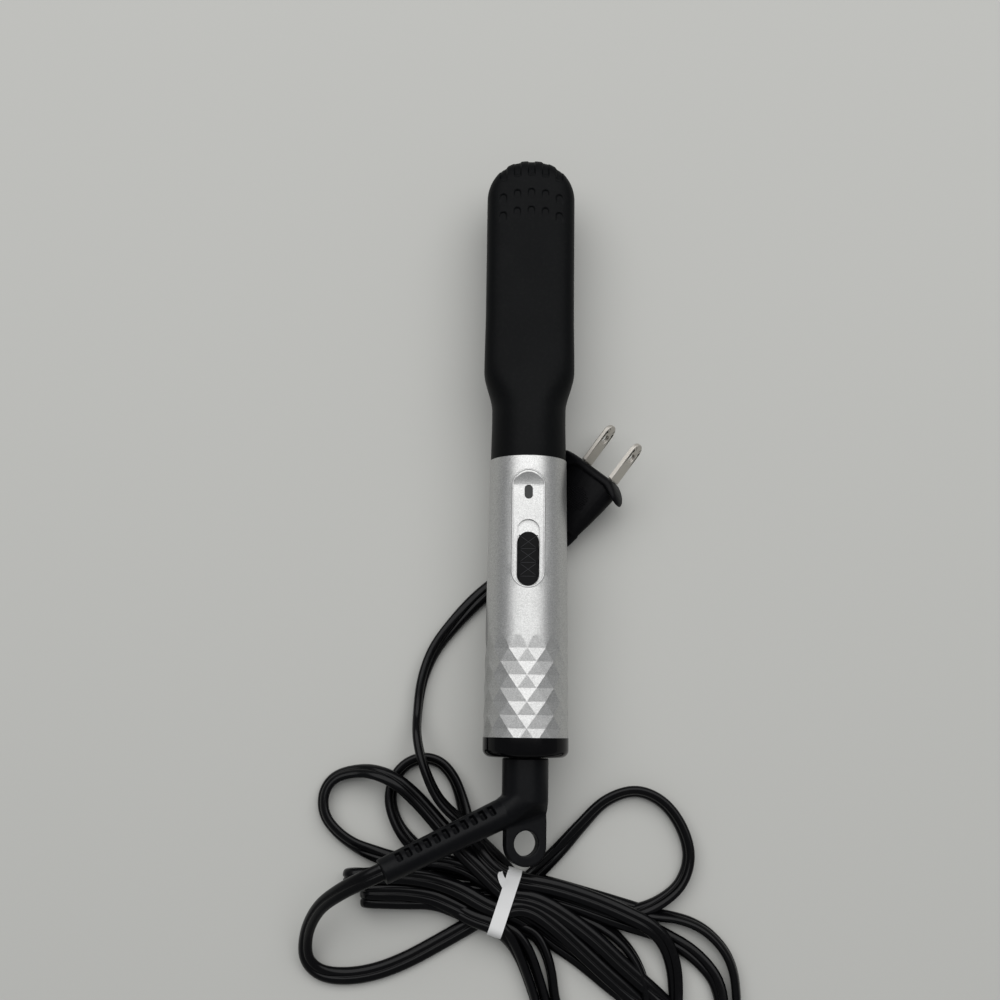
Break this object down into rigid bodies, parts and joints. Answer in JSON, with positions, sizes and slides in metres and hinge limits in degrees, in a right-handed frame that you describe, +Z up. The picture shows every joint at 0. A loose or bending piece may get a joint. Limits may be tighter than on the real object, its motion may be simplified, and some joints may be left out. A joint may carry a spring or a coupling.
{
  "type": "beard straightener",
  "caption": "Corded heated beard straightener: black comb head with a crowned back, silver faceted grip with a slide switch, swivel cord boot, tied flat cord and plug",
  "frame": {"origin": "on the surface that the comb teeth stand on, under the middle of the rigid tool from the tip of the head to the end of the tail cap", "axes": "+Y runs along the handle towards the tip of the head, +Z up, away from the comb teeth, +X to the right seen from above with the head pointing away"},
  "size_m": [0.1477, 0.3183, 0.0358],
  "materials": {
    "head_black": "matte black moulded shells",
    "heated_plate": "anodised die-cast aluminium",
    "guard_black": "satin black heat-resistant nylon",
    "ceramic": "off-white fired ceramic",
    "insulation_film": "amber film",
    "spring_steel": "bare spring steel",
    "cutout_metal": "plain can",
    "sensor_bead": "dark green bead",
    "screw_steel": "zinc-plated steel",
    "silver_shell": "satin silver paint with fine sparkle",
    "smoked_lens": "smoked clear lens, lamp off",
    "lamp_red": "red diode body",
    "board_green": "green board",
    "switch_grey": "dark grey moulding",
    "wire_red": "red insulation",
    "wire_black": "black insulation",
    "contact_plastic": "natural engineering plastic",
    "contact_bronze": "bare bronze strip",
    "cap_black": "gloss black",
    "lever_plastic": "natural plastic",
    "carriage_silver": "silver-grey moulding",
    "button_black": "satin black with a raised line pattern",
    "contact_brass": "bare brass",
    "boot_rubber": "semi-matte black",
    "cord_pvc": "satin black flat twin cord",
    "tie_white": "white coated strip",
    "plug_pvc": "semi-matte black moulding",
    "blade_metal": "dull nickel plate"
  },
  "bodies": {
    "tool": {"head_cover": "head_black", "head_frame": "head_black", "heater_plate": "heated_plate", "comb_guard": "guard_black", "heater_element": "ceramic", "insulator_pad": "insulation_film", "heater_clamp": "spring_steel", "thermal_cutout": "cutout_metal", "thermistor": "sensor_bead", "head_screws": "screw_steel", "clamp_screws": "screw_steel", "sleeve_top": "silver_shell", "sleeve_bottom": "silver_shell", "sleeve_screws": "screw_steel", "lamp_lens": "smoked_lens", "indicator_led": "lamp_red", "circuit_board": "board_green", "board_screws": "screw_steel", "switch_body": "switch_grey", "heater_wires": "wire_red", "supply_wires": "wire_black", "contact_block": "contact_plastic", "contact_springs": "contact_bronze", "end_cap": "cap_black"},
    "switch_slider": {"switch_lever": "lever_plastic", "button_carriage": "carriage_silver", "switch_button": "button_black"},
    "cord_swivel": {"swivel_rotor": "contact_plastic", "contact_rings": "contact_brass", "cord_boot": "boot_rubber", "cord_lead": "cord_pvc", "cord_loop_left": "cord_pvc", "cord_loop_upper": "cord_pvc", "cord_loop_right": "cord_pvc", "cord_plug_lead": "cord_pvc", "cord_hank_left": "cord_pvc", "cord_hank_right": "cord_pvc", "cord_tie": "tie_white", "plug_body": "plug_pvc", "plug_blades": "blade_metal"}
  },
  "joints": [
    {"name": "switch_slide", "type": "slide", "parent": "tool", "child": "switch_slider", "axis": [0, 1, 0], "range_m": [0, 0.0042]},
    {"name": "cord_swivel_spin", "type": "hinge", "parent": "tool", "child": "cord_swivel", "pos_m": [0, -0.1043, 0.0185], "axis": [0, 1, 0], "continuous": true}
  ]
}
